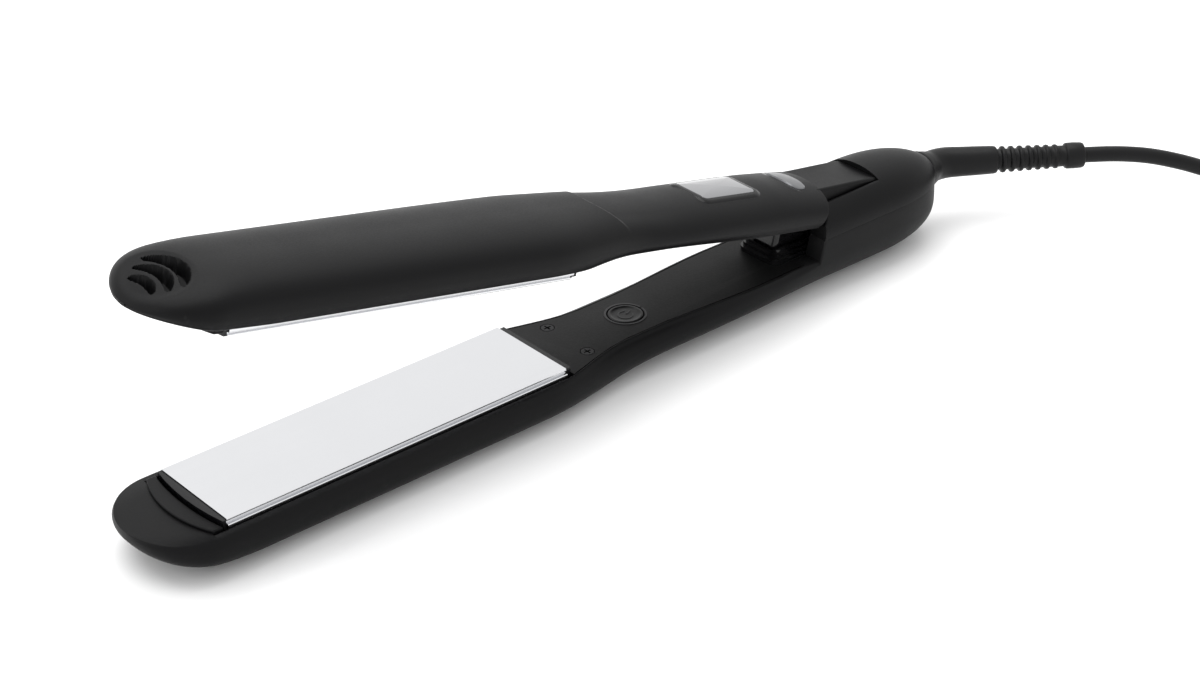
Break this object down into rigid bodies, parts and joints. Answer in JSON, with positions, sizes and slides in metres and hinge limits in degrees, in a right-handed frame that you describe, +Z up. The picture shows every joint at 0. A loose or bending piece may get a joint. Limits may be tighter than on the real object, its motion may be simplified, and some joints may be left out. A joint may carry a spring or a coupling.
{
  "type": "flat iron",
  "caption": "Hair straightener with two sprung arms, floating heated plates, a display, a rocker and a power button, and a swivel mains cord tied in a hank.",
  "frame": {"origin": "bottom centre of the bounding box of the iron without its cord, on the surface it lies on", "axes": "+X runs from the tip to the hinge and the cord, +Y across the plates, +Z up from the surface"},
  "size_m": [0.4486, 0.0762, 0.067],
  "materials": {
    "black_shell": "soft-touch black shell",
    "black_panel": "black inner face panel",
    "black_gloss": "glossy black collar and shroud",
    "button_black": "satin black button",
    "plate_metal": "polished, coated plate",
    "tray_black": "heat-resistant black carrier",
    "ceramic": "ceramic heater",
    "mica": "mica sheet",
    "steel": "steel",
    "silicone": "silicone cushion",
    "board_green": "circuit board",
    "component": "board components",
    "display_glass": "silvery display lens",
    "display_trim": "dark display frame",
    "rocker_silver": "silver-grey rocker",
    "cord_rubber": "black cord sheath",
    "plug_rubber": "moulded black plug",
    "pin_metal": "plug blades",
    "tie_fabric": "woven tie strap"
  },
  "bodies": {
    "base": {"lower_casing": "black_shell", "lower_cover": "black_panel", "spring_collar": "black_gloss", "housing_cover": "black_shell", "lower_cushions": "silicone", "lower_cover_screws": "steel", "main_board": "board_green", "board_parts": "component", "hinge_pin": "steel", "hinge_washers": "steel", "arm_spring": "steel"},
    "lower_float": {"lower_plate": "plate_metal", "lower_tray": "tray_black", "lower_heater": "ceramic", "lower_mica": "mica", "lower_sensor": "steel"},
    "power_button": {"power_button": "button_black"},
    "upper_arm": {"upper_casing": "black_shell", "hinge_knuckle": "black_shell", "upper_cover": "black_panel", "spring_shroud": "black_gloss", "upper_cushions": "silicone", "upper_cover_screws": "steel", "display_window": "display_glass", "display_frame": "display_trim", "display_board": "board_green"},
    "upper_float": {"upper_plate": "plate_metal", "upper_tray": "tray_black", "upper_heater": "ceramic", "upper_mica": "mica", "upper_sensor": "steel"},
    "heat_rocker": {"heat_rocker": "rocker_silver"},
    "swivel": {"cord_swivel": "black_gloss", "strain_relief": "cord_rubber", "power_cord": "cord_rubber", "cord_hank": "cord_rubber", "cord_tie": "tie_fabric", "plug_body": "plug_rubber", "plug_pins": "pin_metal"}
  },
  "joints": [
    {"name": "arm_hinge", "type": "hinge", "parent": "base", "child": "upper_arm", "pos_m": [0.0953, 0, 0.0154], "axis": [0, -1, 0], "range_deg": [0, 12.1], "stiffness_Nm_per_rad": 0.15, "springref_deg": -45.84},
    {"name": "lower_plate_float", "type": "slide", "parent": "base", "child": "lower_float", "axis": [0, 0, -1], "range_m": [0, 0.0008], "stiffness_N_per_m": 8000, "springref_m": -0.0004},
    {"name": "upper_plate_float", "type": "slide", "parent": "upper_arm", "child": "upper_float", "axis": [0.2113, 0, 0.9774], "range_m": [0, 0.0008], "stiffness_N_per_m": 8000, "springref_m": -0.0004},
    {"name": "power_press", "type": "slide", "parent": "base", "child": "power_button", "axis": [0, 0, -1], "range_m": [0, 0.0006], "stiffness_N_per_m": 900, "springref_m": -0.0006},
    {"name": "heat_rock", "type": "hinge", "parent": "upper_arm", "child": "heat_rocker", "pos_m": [0.07065, 0, 0.0282], "axis": [0.9774, 0, -0.2113], "range_deg": [-3, 3], "stiffness_Nm_per_rad": 0.02},
    {"name": "cord_turn", "type": "hinge", "parent": "base", "child": "swivel", "pos_m": [0.12, 0, 0.0149], "axis": [1, 0, 0], "continuous": true}
  ]
}
